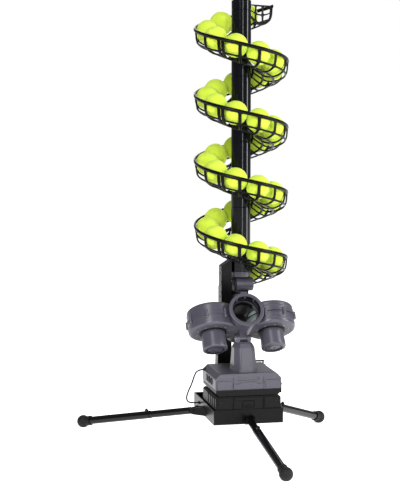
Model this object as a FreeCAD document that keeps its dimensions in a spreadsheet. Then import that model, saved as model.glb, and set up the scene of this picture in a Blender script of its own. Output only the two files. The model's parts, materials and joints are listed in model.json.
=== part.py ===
"""Tennis ball machine: a tripod base, two stacked cases, a tilting two-wheel head and a spiral ball tower.

+Z is up and the machine throws towards -Y. The origin is on the ground, under the middle of its box.
Every piece is drawn about the tray's working centre, in drawing units. At the end it is moved by `shift` and
brought to true millimetres by `drawing_scale`, which makes the drawn balls of 40.3 units true tennis balls.
"""
import FreeCAD, Part
import Sketcher
import math
import os

V = FreeCAD.Vector
doc = FreeCAD.newDocument("TennisBallMachine")

# ------------------------------------------------ driving dimensions
SIZES = {
    "drawing_scale": 0.827, "ball_radius": 40.3,
    # base
    "tray_width": 232, "tray_depth": 314, "tray_height": 48, "tray_bottom": 97, "sheet_wall": 2.5,
    "case_front": 121, "battery_width": 217, "battery_depth": 198, "battery_height": 88,
    "control_width": 220, "control_depth": 198, "control_base_height": 20, "control_lid_height": 52,
    "case_wall": 3, "corner_radius": 16,
    # pedestal and head
    "pedestal_height": 90, "hinge_forward": 45.7, "hinge_height": 366.4, "head_tilt": 32,
    "pin_radius": 4, "pin_play": 0.05, "wheel_lift": 62,
    "wheel_spread": 99, "wheel_radius": 71, "wheel_height": 52, "hub_radius": 50,
    "housing_radius": 80, "housing_half": 40, "shell_wall": 3.5, "tunnel_radius": 42, "drum_radius": 48,
    "barrel_outer": 52.5, "barrel_bore": 46.5, "barrel_rim": 58, "barrel_reach": 95,
    "motor_radius": 39, "motor_length": 61, "shaft_radius": 5,
    # tower
    "column_x": 41, "column_y": 161, "column_radius": 33, "column_wall": 3, "column_bottom": 564,
    "module_height": 221, "cap_height": 33, "collar_height": 17,
    "rim_radius": 157, "rim_height": 1387, "rim_angle": 168, "trough_depth": 66.5, "trough_wall": 3.5,
    "ball_circle": 112.4,
    "post_width": 36, "post_depth": 40, "post_top": 608,
    # feeder
    "feeder_radius": 24, "feeder_length": 60, "feeder_height": 520, "chute_radius": 41, "chute_bore": 38,
    # legs
    "leg_height": 112, "inner_radius": 12, "outer_radius": 13.4, "tube_wall": 1.6, "slide_play": 0.08,
    "inner_length": 232, "outer_length": 280, "foot_radius": 22, "foot_height": 20.5,
}
sheet = doc.addObject("Spreadsheet::Sheet", "Sizes")
for row, (alias, value) in enumerate(SIZES.items(), start=1):
    sheet.set("A%d" % row, alias)
    sheet.set("B%d" % row, str(value))
    sheet.setAlias("B%d" % row, alias)
doc.recompute()


def size(alias):
    """One driving dimension, read back from the sheet."""
    return float(sheet.get(alias))


NODES = {}


def node(name, thing, placement=None):
    """Name a finished sub-part and put it in place."""
    thing.Label = name
    if placement is not None:
        thing.Placement = placement
    NODES[name] = thing
    return thing


# ------------------------------------------------ small builders
def at(x=0.0, y=0.0, z=0.0, rotation=None):
    return FreeCAD.Placement(V(x, y, z), rotation or FreeCAD.Rotation())


UP = FreeCAD.Rotation()
ALONG_X = FreeCAD.Rotation(V(0, 0, 1), V(1, 0, 0))
ALONG_Y = FreeCAD.Rotation(V(0, 0, 1), V(0, 1, 0))


def bind(thing, **formulas):
    """Bind properties to sheet formulas; a bare number stays a number."""
    for name, formula in formulas.items():
        if isinstance(formula, str):
            thing.setExpression(name, formula)
        else:
            setattr(thing, name, formula)
    return thing


def block(name, length, width, height, x=0.0, y=0.0, z=0.0, centred=True):
    """A box centred on X and Y, standing on z."""
    thing = bind(doc.addObject("Part::Box", name), Length=length, Width=width, Height=height)
    thing.recompute()
    half = V(thing.Length.Value / 2, thing.Width.Value / 2, 0) if centred else V()
    thing.Placement = FreeCAD.Placement(V(x, y, z) - half, UP)
    return thing


def rod(name, radius, height, x=0.0, y=0.0, z=0.0, rotation=UP):
    thing = bind(doc.addObject("Part::Cylinder", name), Radius=radius, Height=height)
    thing.Placement = at(x, y, z, rotation)
    return thing


def ball(name, radius, x=0.0, y=0.0, z=0.0):
    thing = bind(doc.addObject("Part::Sphere", name), Radius=radius)
    thing.Placement = at(x, y, z)
    return thing


def fuse(name, *things):
    result = doc.addObject("Part::MultiFuse", name)
    result.Shapes = list(things)
    return result


def cut(name, base, *tools):
    result = doc.addObject("Part::Cut", name)
    result.Base = base
    result.Tool = tools[0] if len(tools) == 1 else fuse(name + "_tools", *tools)
    return result


def group(name, things):
    """Separate solids in one node."""
    result = doc.addObject("Part::Compound", name)
    result.Links = list(things)
    return result


def rounded(name, base, radius, wanted):
    """Fillet the edges of base whose middle passes the test."""
    doc.recompute([base])
    result = doc.addObject("Part::Fillet", name)
    result.Base = base
    picked = []
    for index, edge in enumerate(base.Shape.Edges, start=1):
        middle = edge.valueAt((edge.FirstParameter + edge.LastParameter) / 2)
        if wanted(edge, middle):
            picked.append((index, radius, radius))
    result.Edges = picked
    return result


def origin_plane(body, role):
    return [item for item in body.Origin.OriginFeatures if item.Role == role][0]


def outline(body, role, name, corners):
    """A closed outline on an origin plane of the body, each corner bound to the sheet."""
    sketch = body.newObject("Sketcher::SketchObject", name)
    sketch.AttachmentSupport = (origin_plane(body, role), [""])
    sketch.MapMode = "FlatFace"
    values = [[float(sketch.evalExpression(str(part))) for part in corner] for corner in corners]
    for index, here in enumerate(values):
        after = values[(index + 1) % len(values)]
        sketch.addGeometry(Part.LineSegment(V(here[0], here[1], 0), V(after[0], after[1], 0)), False)
    for index in range(len(corners)):
        sketch.addConstraint(Sketcher.Constraint("Coincident", index, 2, (index + 1) % len(corners), 1))
    for index, (corner, value) in enumerate(zip(corners, values)):
        for kind, formula, number, axis in zip(("DistanceX", "DistanceY"), corner, value, (-2, -1)):
            if abs(number) < 1e-9:
                sketch.addConstraint(Sketcher.Constraint("PointOnObject", index, 1, axis))
                continue
            place = sketch.addConstraint(Sketcher.Constraint(kind, -1, 1, index, 1, number))
            if isinstance(formula, str):
                sketch.setExpression("Constraints[%d]" % place, formula)
    return sketch


def turned(name, corners):
    """A body turned about Z from an outline of (radius, height) corners."""
    body = doc.addObject("PartDesign::Body", name)
    sketch = outline(body, "XZ_Plane", name + "_profile", corners)
    turn = body.newObject("PartDesign::Revolution", name + "_turn")
    turn.Profile = sketch
    turn.ReferenceAxis = (sketch, ["V_Axis"])
    turn.Angle = 360
    sketch.Visibility = False
    return body


def padded(name, role, corners, length, midplane=False):
    """A body padded from an outline on an origin plane."""
    body = doc.addObject("PartDesign::Body", name)
    pad = body.newObject("PartDesign::Pad", name + "_pad")
    sketch = outline(body, role, name + "_profile", corners)
    pad.Profile = sketch
    body.Tip = pad
    bind(pad, Length=length)
    if midplane:
        pad.Midplane = True
    return body


# ------------------------------------------------ base: tray, battery case, control case
front = -size("case_front")
tray_front = -125.0
tray_middle = tray_front + size("tray_depth") / 2
tray_floor = size("tray_bottom") + size("sheet_wall")
battery_middle = front + size("battery_depth") / 2
battery_bottom = tray_floor
control_bottom = battery_bottom + size("battery_height") + 2.5
lid_bottom = control_bottom + size("control_base_height")
lid_top = lid_bottom + size("control_lid_height")

tray_block = block("tray_block", "Sizes.tray_width", "Sizes.tray_depth", "Sizes.tray_height",
                   0, tray_middle, size("tray_bottom"))
tray_hollow = block("tray_hollow", "Sizes.tray_width - 2 * Sizes.sheet_wall",
                    "Sizes.tray_depth - 2 * Sizes.sheet_wall", "Sizes.tray_height",
                    0, tray_middle, tray_floor)
node("base_tray", cut("tray_shape", tray_block, tray_hollow))


def case_outline(width, height, lower_corner, upper_corner):
    """Front outline of a case: a rectangle with cut corners, centred on X, standing on its base line."""
    edge = "(%s) / 2" % width
    return [("-%s + %s" % (edge, lower_corner), 0), ("%s - %s" % (edge, lower_corner), 0),
            (edge, lower_corner), (edge, "%s - %s" % (height, upper_corner)),
            ("%s - %s" % (edge, upper_corner), height), ("-%s + %s" % (edge, upper_corner), height),
            ("-%s" % edge, "%s - %s" % (height, upper_corner)), ("-%s" % edge, lower_corner)]


def case(name, width, height, depth, lower_corner, upper_corner, z):
    body = padded(name, "XZ_Plane", case_outline(width, height, lower_corner, upper_corner), depth, True)
    body.Placement = at(0, battery_middle, z)
    return body


def soft_corner(edge, middle):
    """Long edges that run front to back."""
    line = edge.lastVertex().Point - edge.firstVertex().Point
    return abs(line.y) > 0.9 * line.Length and line.Length > 100


battery_solid = case("battery_solid", "Sizes.battery_width", "Sizes.battery_height", "Sizes.battery_depth",
                     "6", "6", battery_bottom)
battery_hollow = block("battery_hollow", "Sizes.battery_width - 4 * Sizes.case_wall",
                       "Sizes.battery_depth - 4 * Sizes.case_wall",
                       "Sizes.battery_height - 4 * Sizes.case_wall",
                       0, battery_middle, battery_bottom + 2 * size("case_wall"))
latch_recess = block("latch_recess", 40, 8, 22, 0, front, battery_bottom + 52)
seams = [block("battery_seam_%d" % side, 2.5, 6, 60, side * 50, front, battery_bottom + 40)
         for side in (-1, 1)]
vents = [block("battery_vent_%d" % n, 6, 7, 24, -size("battery_width") / 2, front + 40 + 14 * n,
               battery_bottom + 52) for n in range(4)]
node("battery_case", cut("battery_shape", battery_solid, battery_hollow, latch_recess, *(seams + vents)))
cells = block("battery_cells", 150, 140, 60, 0, battery_middle, battery_bottom + 2 * size("case_wall") + 0.3)
node("battery_pack", rounded("battery_cells_round", cells, 4, soft_corner))

latch_plate = block("latch_plate", 36, 3, 18, 0, front + 2, battery_bottom + 54)
latch_lip = block("latch_lip", 20, 4, 4, 0, front - 0.5, battery_bottom + 56)
node("battery_latch", fuse("battery_latch_shape", latch_plate, latch_lip))

control_base = case("control_base", "Sizes.control_width - 4", "Sizes.control_base_height",
                    "Sizes.control_depth", "9", "1", control_bottom)
control_base_hollow = block("control_base_hollow", "Sizes.control_width - 30",
                            "Sizes.control_depth - 4 * Sizes.case_wall", "Sizes.control_base_height",
                            0, battery_middle, control_bottom + size("case_wall"))
node("control_case_base", cut("control_base_shape", control_base, control_base_hollow))

lid_solid = case("lid_solid", "Sizes.control_width", "Sizes.control_lid_height", "Sizes.control_depth",
                 "1", "Sizes.corner_radius", lid_bottom + 0.3)
lid_hollow = block("lid_hollow", "Sizes.control_width - 40", "Sizes.control_depth - 4 * Sizes.case_wall",
                   "Sizes.control_lid_height - 2 * Sizes.case_wall", 0, battery_middle, lid_bottom)
lid_seams = [block("lid_seam_%d" % side, 2.5, 5, 40, side * 50, front, lid_bottom) for side in (-1, 1)]
lid_step = block("lid_step", 72, 5, 12, 0, front, lid_bottom + 30)
socket_holes = [rod("socket_hole_%d" % n, 9, 8, -size("control_width") / 2 - 1, front + 60 + 34 * n,
                    lid_bottom + 20, ALONG_X) for n in range(2)]
side_face = -size("control_width") / 2
GLAND = V(side_face - 1.5, 55, 249)
gland_hole = rod("gland_hole", 6.02, 18, GLAND.x - 10, GLAND.y, GLAND.z, ALONG_X)
switch_hole = block("switch_hole", 12, 16, 22, -size("control_width") / 2, front + 128, lid_bottom + 10)
lid_round = rounded("lid_round", lid_solid, 7, lambda edge, middle: soft_corner(edge, middle)
                    and middle.z > lid_bottom + 20)
switch_y = front + 128
switch_z = lid_bottom + 21
rocker = block("rocker", 6, 15.2, 20, side_face + 0.9, switch_y, switch_z - 10)
node("power_switch", rounded("rocker_round", rocker, 1.2, lambda edge, middle: middle.x < side_face - 2))

clip_x = size("control_width") / 2
clip = block("clip_plate", 5, 26, 34, clip_x + 3.2, front + 30, lid_bottom - 18)
clip_tip = block("clip_tip", 4, 18, 5, clip_x + 6, front + 30, lid_bottom + 8)
node("case_latch", fuse("clip_shape", clip, clip_tip))

# a carrying handle stands behind the lid's right rear corner on two lugs
handle_y = front + size("control_depth") + 9
handle_z = lid_top - 14
handle_x = 84.0
handle_arms = [rod("handle_arm_%d" % side, 2.8, 17, handle_x + side * 18, handle_y, handle_z)
               for side in (-1, 1)]
handle_bar = rod("handle_bar", 3, 42, handle_x - 21, handle_y, handle_z + 17, ALONG_X)
handle_eyes = [rod("handle_eye_%d" % side, 4.5, 6, handle_x + side * 18 - 3, handle_y, handle_z, ALONG_X)
               for side in (-1, 1)]
handle_pin_hole = rod("handle_pin_hole", 2.05, 60, handle_x - 30, handle_y, handle_z, ALONG_X)
handle_shape = fuse("handle_shape", handle_bar, *(handle_arms + handle_eyes))
node("carry_handle", cut("carry_handle_shape", handle_shape, handle_pin_hole))
lugs = []
for side in (-1, 1):
    lug_x = handle_x + side * 18 + side * 5.5
    lugs.append(block("handle_lug_%d" % side, 4, 13, 10, lug_x, handle_y - 2.5, handle_z - 5))
handle_pin = rod("handle_pin", 2, 47, handle_x - 23.5, handle_y, handle_z, ALONG_X)
lid_outer = fuse("lid_outer", lid_round, handle_pin, *lugs)
node("control_case_lid", cut("lid_shape", lid_outer, lid_hollow, lid_step, switch_hole, gland_hole,
                             *(lid_seams + socket_holes)))

# ------------------------------------------------ pedestal and tilt hinge
hinge_y = -size("hinge_forward")
hinge_z = size("hinge_height")


def octagon(width, depth, corner):
    """Corners of a rectangle with cut corners about the middle."""
    w, d = width / 2, depth / 2
    return [(-w + corner, -d), (w - corner, -d), (w, -d + corner), (w, d - corner),
            (w - corner, d), (-w + corner, d), (-w, d - corner), (-w, -d + corner)]


def facet_loft(name, sections):
    """A faceted solid through octagons of (z, width, depth, corner, y)."""
    wires = []
    for z, width, depth, corner, y in sections:
        ring = [V(px, py + y, z) for px, py in octagon(width, depth, corner)]
        wires.append(Part.makePolygon(ring + ring[:1]))
    thing = doc.addObject("Part::Feature", name)
    thing.Shape = Part.makeLoft(wires, True, True)
    return thing


pedestal_bottom = lid_top + 0.3
pedestal_top = pedestal_bottom + size("pedestal_height")
pedestal_loft = facet_loft("pedestal_loft", [
    (pedestal_bottom, 82, 92, 16, hinge_y - 4), (pedestal_bottom + 10, 76, 88, 16, hinge_y - 4),
    (pedestal_top - 14, 69, 64, 15, hinge_y), (pedestal_top, 54, 50, 12, hinge_y)])
pedestal_panel = facet_loft("pedestal_panel", [
    (pedestal_bottom, 42, 97, 2, hinge_y - 4), (pedestal_bottom + 10, 40, 93, 2, hinge_y - 4),
    (pedestal_top - 20, 30, 68, 2, hinge_y)])
cable_way = rod("cable_way", 16, 70, 0, hinge_y, pedestal_bottom - 1)
node("pedestal", cut("pedestal_shape", fuse("pedestal_outer", pedestal_loft, pedestal_panel), cable_way))

fork_cheeks = []
for side in (-1, 1):
    cheek = block("fork_cheek_%d" % side, 11, 22, hinge_z - pedestal_top - 0.3,
                  side * 18, hinge_y, pedestal_top + 0.3)
    cheek_round = rod("fork_round_%d" % side, 11, 11, side * 18 - 5.5, hinge_y, hinge_z, ALONG_X)
    fork_cheeks.extend([cheek, cheek_round])
fork_base = block("fork_base", 47, 30, 3, 0, hinge_y, pedestal_top + 0.3)
fork_bore = rod("fork_bore", "Sizes.pin_radius + Sizes.pin_play", 60, -30, hinge_y, hinge_z, ALONG_X)
node("pedestal_fork", cut("fork_shape", fuse("fork_outer", fork_base, *fork_cheeks), fork_bore))
tilt_pin = rod("tilt_pin_shank", "Sizes.pin_radius", 52, -26, hinge_y, hinge_z, ALONG_X)
pin_heads = [rod("tilt_pin_head_%d" % side, 7.5, 3, side * 25.5 - 1.5, hinge_y, hinge_z, ALONG_X)
             for side in (-1, 1)]
node("tilt_pin", fuse("tilt_pin_shape", tilt_pin, *pin_heads))

# ------------------------------------------------ throwing head, designed level about the hinge
# Its own frame has the hinge at the origin, -Y towards the target and the wheels' plane at wheel_lift.
head_place = FreeCAD.Placement(V(0, hinge_y, hinge_z), FreeCAD.Rotation(V(1, 0, 0), -size("head_tilt")))
lift = size("wheel_lift")
spread = size("wheel_spread")
half = size("housing_half")
SIDES = (("left", -1), ("right", 1))


def shell(name, up):
    """One half of the wheel housing: two round pans joined by a half drum for the ball's tunnel."""
    z = lift if up > 0 else lift - half
    solids = []
    hollows = []
    for side, sign in SIDES:
        pan = rod("%s_pan_%s" % (name, side), "Sizes.housing_radius", "Sizes.housing_half - 0.2",
                  sign * spread, 0, z + (0.2 if up > 0 else 0))
        face = z + half if up > 0 else z
        solids.append(rounded("%s_pan_round_%s" % (name, side), pan, 9,
                              lambda edge, middle: abs(middle.z - face) < 0.3))
        for n in range(8):
            turn = math.radians(22.5 + 45 * n)
            if sign * math.cos(turn) < -0.5:
                continue
            reach = size("housing_radius") + 2
            solids.append(rod("%s_boss_%s_%d" % (name, side, n), 5.5, 12,
                              sign * spread + reach * math.cos(turn), reach * math.sin(turn),
                              z + (0.2 if up > 0 else half - 12.2)))
        solids.append(rod("%s_flange_%s" % (name, side), "Sizes.housing_radius + 2", 5, sign * spread, 0,
                          z + (0.2 if up > 0 else half - 5.2)))
        hollows.append(rod("%s_hollow_%s" % (name, side), "Sizes.housing_radius - Sizes.shell_wall",
                           "Sizes.housing_half - Sizes.shell_wall", sign * spread, 0,
                           z + (0 if up > 0 else size("shell_wall"))))
    drum = rod(name + "_drum", "Sizes.drum_radius", 135, 0, -60, lift, ALONG_Y)
    waist = block(name + "_waist", 110, 100, "Sizes.housing_half - 0.2", 0, 0, z + (0.2 if up > 0 else 0))
    tunnel = rod(name + "_tunnel", "Sizes.tunnel_radius", 160, 0, -70, lift, ALONG_Y)
    other_half = block(name + "_other_half", 500, 300, 120, 0, 0, lift - 120 + 0.2 if up > 0 else lift - 0.2)
    mouth = rod(name + "_mouth", "Sizes.barrel_bore + 0.2", 50, 0, -110.3, lift, ALONG_Y)
    tools = hollows + [tunnel, mouth, other_half]
    if up < 0:
        for side, sign in SIDES:
            tools.append(rod("shaft_room_" + side, 7, 12, sign * spread, 0, lift - half - 1))
    return cut(name + "_shape", fuse(name + "_outer", drum, waist, *solids), *tools)


node("head_upper_shell", shell("upper", 1), head_place)
node("head_lower_shell", shell("lower", -1), head_place)

barrel_tube = rod("barrel_tube", "Sizes.barrel_outer", 34.5, 0, -size("barrel_reach"), lift, ALONG_Y)
barrel_lip = rod("barrel_lip", "Sizes.barrel_rim", 9, 0, -size("barrel_reach") - 0.5, lift, ALONG_Y)
barrel_bore = rod("barrel_bore", "Sizes.barrel_bore", 60, 0, -size("barrel_reach") - 5, lift, ALONG_Y)
barrel_tab = block("barrel_tab", 20, 7, 7, 0, -size("barrel_reach") + 4, lift + size("barrel_rim") - 2)
lip_round = rounded("barrel_lip_round", barrel_lip, 2.5, lambda edge, middle: edge.Length > 200)
pan_rooms = [rod("pan_room_" + side, "Sizes.housing_radius + 2.3", 120, sign * spread, 0, lift - 60)
             for side, sign in SIDES]
barrel_outer = fuse("barrel_outer", barrel_tube, lip_round, barrel_tab)
node("barrel", cut("barrel_shape", barrel_outer, barrel_bore, *pan_rooms), head_place)

cores = []
for side, sign in SIDES:
    x = sign * spread
    bottom = lift - size("wheel_height") / 2
    hub = rod("hub_%s" % side, "Sizes.hub_radius", "Sizes.wheel_height - 8", x, 0, bottom + 4)
    relief_top = rod("hub_relief_top_%s" % side, 40, 14, x, 0, bottom + size("wheel_height") - 18)
    relief_low = rod("hub_relief_low_%s" % side, 40, 14, x, 0, bottom + 4)
    boss = rod("hub_boss_%s" % side, 14, "Sizes.wheel_height - 8", x, 0, bottom + 4)
    shaft = rod("hub_shaft_%s" % side, "Sizes.shaft_radius", 70, x, 0, lift - half - 10)
    web = cut("hub_web_%s" % side, hub, relief_top, relief_low)
    node("wheel_hub_%s" % side, fuse("hub_shape_%s" % side, web, boss, shaft), head_place)
    tyre = rod("tyre_%s" % side, "Sizes.wheel_radius", "Sizes.wheel_height", x, 0, bottom)
    tyre_hole = rod("tyre_hole_%s" % side, "Sizes.hub_radius", 80, x, 0, bottom - 10)
    crowned = rounded("tyre_round_%s" % side, tyre, 7, lambda edge, middle: edge.Length > 200)
    node("wheel_tyre_%s" % side, cut("tyre_shape_%s" % side, crowned, tyre_hole), head_place)
    can_top = lift - half - 0.3
    can = doc.addObject("Part::Cone", "motor_%s" % side)
    bind(can, Radius1="Sizes.motor_radius + 2", Radius2="Sizes.motor_radius", Height="Sizes.motor_length")
    can.Placement = at(x, 0, can_top - size("motor_length"))
    can_round = rounded("motor_round_%s" % side, can, 6, lambda edge, middle: middle.z < lift - half - 30
                        and edge.Length > 200)
    dish = rod("motor_dish_%s" % side, 27, 4, x, 0, can_top - size("motor_length") - 1.5)
    can_hollow = rod("motor_hollow_%s" % side, 35, "Sizes.motor_length - 12",
                     x, 0, can_top - size("motor_length") + 8)
    shaft_room = rod("motor_shaft_room_%s" % side, 6, 20, x, 0, can_top - 12)
    motor_shape = cut("motor_shape_%s" % side, can_round, dish, can_hollow, shaft_room)
    node("motor_can_%s" % side, motor_shape, head_place)
    cores.append(rod("motor_core_%s" % side, 30, 42, x, 0, can_top - size("motor_length") + 8.3))
node("motor_cores", group("motor_core_group", cores), head_place)

tongue_web = block("tongue_web", 24, 20, lift - size("drum_radius") + 4, 0, 0, 0)
tongue_round = rod("tongue_round", 9, 24, -12, 0, 0, ALONG_X)
tongue_bore = rod("tongue_bore", "Sizes.pin_radius + Sizes.pin_play", 60, -30, 0, 0, ALONG_X)
drum_room = rod("drum_room", "Sizes.drum_radius + 0.1", 200, 0, -100, lift, ALONG_Y)
tongue = fuse("bracket_outer", tongue_web, tongue_round)
node("head_bracket", cut("bracket_shape", tongue, tongue_bore, drum_room), head_place)

# ------------------------------------------------ rear post, collar, column
column_x = size("column_x")
column_y = size("column_y")
column_bottom = size("column_bottom")
post_x = column_x - size("column_radius") - 3 - size("post_width") / 2
post_bottom = tray_floor + 0.3
post_left = post_x - size("post_width") / 2
post_right = post_x + size("post_width") / 2
post_top = size("post_top")
post = padded("post_body", "XZ_Plane", [
    (post_left - 17, post_bottom), (post_right + 11, post_bottom), (post_right + 7, 278), (post_right, 300),
    (post_right, post_top), (post_left, post_top - 24), (post_left, 300), (post_left - 12, 278)],
    "Sizes.post_depth", True)
post.Placement = at(0, column_y, 0)
post_hollow = block("post_hollow", "Sizes.post_width - 5", "Sizes.post_depth - 5", 480,
                    post_x, column_y, post_bottom + 3)
post_holes = [rod("post_hole_%d" % n, 5, 8, post_left - 4, column_y, post_top - 50 - 40 * n, ALONG_X)
              for n in range(6)]
node("rear_post", cut("post_shape", post, post_hollow, *post_holes))

collar_bottom = column_bottom - size("collar_height")
collar_ring = rod("collar_ring", "Sizes.column_radius", "Sizes.collar_height - 0.2",
                  column_x, column_y, collar_bottom)
collar_spigot = rod("collar_spigot", "Sizes.column_radius - Sizes.column_wall - 0.2", 60,
                    column_x, column_y, collar_bottom)
collar_arm = block("collar_arm", 12, 26, 14, post_right + 6.3, column_y, collar_bottom + 1.5)
node("column_collar", fuse("collar_shape", collar_ring, collar_spigot, collar_arm))

bevel = 0.9
outer = "Sizes.column_radius"
inner = "Sizes.column_radius - Sizes.column_wall"
tall = "Sizes.module_height - 0.3"
for n in range(4):
    tube = turned("column_module_%d" % (n + 1), [
        (inner, 0), (outer + " - %s" % bevel, 0), (outer, bevel), (outer, tall + " - %s" % bevel),
        (outer + " - %s" % bevel, tall), (inner, tall)])
    node("column_tube_%d" % (4 - n), tube, at(column_x, column_y, column_bottom + n * size("module_height")))
cap = turned("column_cap_body", [
    (0, 0), (outer + " - %s" % bevel, 0), (outer, bevel), (outer, "Sizes.cap_height - 3"),
    (outer + " - 3", "Sizes.cap_height"), (0, "Sizes.cap_height")])
node("column_cap", cap, at(column_x, column_y, column_bottom + 4 * size("module_height")))

# ------------------------------------------------ spiral trough: left-handed, one turn a module
pitch = size("module_height")
JOINT_ANGLE = size("rim_angle") + 63
START_ANGLE = size("rim_angle") - 135
END_ANGLE = size("rim_angle") + 1335
BAY = 24.0


def rim_z(angle):
    """Height of the rim at an angle that grows on the way down."""
    return size("rim_height") - pitch * (angle - size("rim_angle")) / 360


def trough(name, first, last):
    """One length of trough from angle first (higher) to angle last (lower), with its windows."""
    body = doc.addObject("PartDesign::Body", name + "_body")
    deep = "Sizes.trough_depth"
    wall = "Sizes.trough_wall"
    section = outline(body, "XZ_Plane", name + "_section", [
        ("Sizes.column_radius + 0.3", "-0.5 * " + deep), ("Sizes.column_radius + 27", "-0.77 * " + deep),
        ("Sizes.column_radius + 51", "-0.96 * " + deep), ("Sizes.rim_radius - 45", "-" + deep),
        ("Sizes.rim_radius - 17", "-0.86 * " + deep), ("Sizes.rim_radius - 1.5", "-0.48 * " + deep),
        ("Sizes.rim_radius", 0), ("Sizes.rim_radius - %s" % wall, 0),
        ("Sizes.rim_radius - 1.5 - %s" % wall, "-0.46 * " + deep),
        ("Sizes.rim_radius - 19", "-0.82 * " + deep),
        ("Sizes.rim_radius - 46", "-%s + %s" % (deep, wall)),
        ("Sizes.column_radius + 52", "-0.96 * %s + %s" % (deep, wall)),
        ("Sizes.column_radius + 29", "-0.77 * %s + %s" % (deep, wall)),
        ("Sizes.column_radius + 0.3", "-0.5 * %s + %s" % (deep, wall))])
    sweep = body.newObject("PartDesign::AdditiveHelix", name + "_sweep")
    sweep.Profile = section
    sweep.ReferenceAxis = (section, ["V_Axis"])
    sweep.Mode = 0
    sweep.LeftHanded = True
    bind(sweep, Pitch="Sizes.module_height", Height="Sizes.module_height * %s / 360" % (last - first - 0.3))
    body.Placement = FreeCAD.Placement(V(column_x, column_y, rim_z(last)), FreeCAD.Rotation(V(0, 0, 1), last))
    windows = doc.addObject("Part::Feature", name + "_windows")
    cutters = []
    bays = int((last - first - 6) / BAY)
    for n in range(bays):
        angle = first + 6 + (n + 0.5) * BAY
        side = Part.makeBox(30, 50, 30, V(145, -25, -40))
        under = Part.makeBox(34, 38, 40, V(108, -19, -80))
        inside = Part.makeBox(42, 20, 50, V(58, -10, -90))
        for cutter in (side, under, inside):
            cutter.rotate(V(), V(0, 0, 1), angle)
            cutter.translate(V(column_x, column_y, rim_z(angle)))
            cutters.append(cutter)
    windows.Shape = Part.Compound(cutters)
    return node(name, cut(name + "_shape", body, windows))


edges = [START_ANGLE, JOINT_ANGLE, JOINT_ANGLE + 360, JOINT_ANGLE + 720, JOINT_ANGLE + 1080, END_ANGLE]
for n in range(5):
    trough("trough_%d" % (n + 1), edges[n], edges[n + 1])

# tennis balls down the spiral, touching one another from the third on
BALL_STEP = 40.0
BALL_DROP = 13.4
BALL_ANGLES = [68.0, 114.0] + [167.2 + n * BALL_STEP for n in range(34)]


def ball_row(name, angles):
    balls = []
    for n, angle in enumerate(angles):
        turn = math.radians(angle)
        x = column_x + size("ball_circle") * math.cos(turn)
        y = column_y + size("ball_circle") * math.sin(turn)
        balls.append(ball("%s_%d" % (name, n), "Sizes.ball_radius", x, y, rim_z(angle) - BALL_DROP))
    return node(name, group(name + "_group", balls))


for row, name in enumerate(("balls_upper", "balls_middle", "balls_lower")):
    ball_row(name, BALL_ANGLES[12 * row:12 * row + 12])

# ------------------------------------------------ feeder under the column
feeder_z = size("feeder_height")
feeder_left = column_x - 19
feeder_can = rod("feeder_can", "Sizes.feeder_radius", "Sizes.feeder_length",
                 feeder_left, column_y, feeder_z, ALONG_X)
feeder_round = rounded("feeder_round", feeder_can, 2.5, lambda edge, middle: edge.Length > 100)
spindle_hole = rod("feeder_spindle_hole", 4, 12, feeder_left - 1, column_y, feeder_z, ALONG_X)
node("feeder_motor", cut("feeder_shape", feeder_round, spindle_hole))
belt_x = feeder_left - 4
big_pulley = rod("feeder_pulley_disc", 22, 5, belt_x - 2.5, column_y, feeder_z, ALONG_X)
spindle = rod("feeder_spindle", 3.9, 12, belt_x - 1, column_y, feeder_z, ALONG_X)
node("feeder_pulley", fuse("feeder_pulley_shape", big_pulley, spindle))

star_y = column_y + 62
star_z = 530.0
star_parts = [rod("star_axle", 3.9, 50, post_right + 0.6, star_y, star_z, ALONG_X),
              rod("star_pulley", 12, 5, belt_x - 2.5, star_y, star_z, ALONG_X),
              rod("star_hub", 9, 28, 26, star_y, star_z, ALONG_X)]
for n in range(3):
    blade = block("star_blade_%d" % n, 28, 4, 31, centred=False)
    blade.Placement = FreeCAD.Placement(V(26, star_y, star_z), FreeCAD.Rotation(V(1, 0, 0), 60 + 120 * n)) \
        * at(0, -2, 0)
    star_parts.append(blade)
node("feed_wheel", fuse("star_shape", *star_parts))


def loop_around(y1, z1, r1, y2, z2, r2):
    """Closed wire round two pulleys in the YZ plane."""
    along = V(0, y2 - y1, z2 - z1)
    reach = along.Length
    base = math.atan2(z2 - z1, y2 - y1)
    lean = math.acos((r1 - r2) / reach)
    spots = []
    for y, z, r, turn in ((y1, z1, r1, base + lean), (y2, z2, r2, base + lean), (y2, z2, r2, base),
                          (y2, z2, r2, base - lean), (y1, z1, r1, base - lean), (y1, z1, r1, base + math.pi)):
        spots.append(V(0, y + r * math.cos(turn), z + r * math.sin(turn)))
    return Part.Wire([Part.LineSegment(spots[0], spots[1]).toShape(),
                      Part.Arc(spots[1], spots[2], spots[3]).toShape(),
                      Part.LineSegment(spots[3], spots[4]).toShape(),
                      Part.Arc(spots[4], spots[5], spots[0]).toShape()])


belt = doc.addObject("Part::Feature", "belt_shape")
belt_outer = Part.Face(loop_around(column_y, feeder_z, 24.8, star_y, star_z, 14.8)).extrude(V(5, 0, 0))
belt_inner = Part.Face(loop_around(column_y, feeder_z, 22.3, star_y, star_z, 12.3)).extrude(V(5, 0, 0))
belt.Shape = belt_outer.cut(belt_inner)
node("feed_belt", belt, at(belt_x - 2.5, 0, 0))

strap_x = post_right + 0.3
strap = doc.addObject("Part::Feature", "strap_plate")
strap.Shape = Part.Face(loop_around(column_y, feeder_z, 14, star_y, star_z, 10)).extrude(V(3, 0, 0))
strap.Placement = at(strap_x, 0, 0)
strap_hole = rod("strap_hole", 3.95, 20, strap_x - 5, star_y, star_z, ALONG_X)
feeder_plate = cut("feeder_plate", strap, strap_hole)

CHUTE_ROUTE = [V(32, 282, 498), V(32, 282, 450), V(52, 185, 424), V(52, 118, 408), V(0, 88, 394)]


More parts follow.
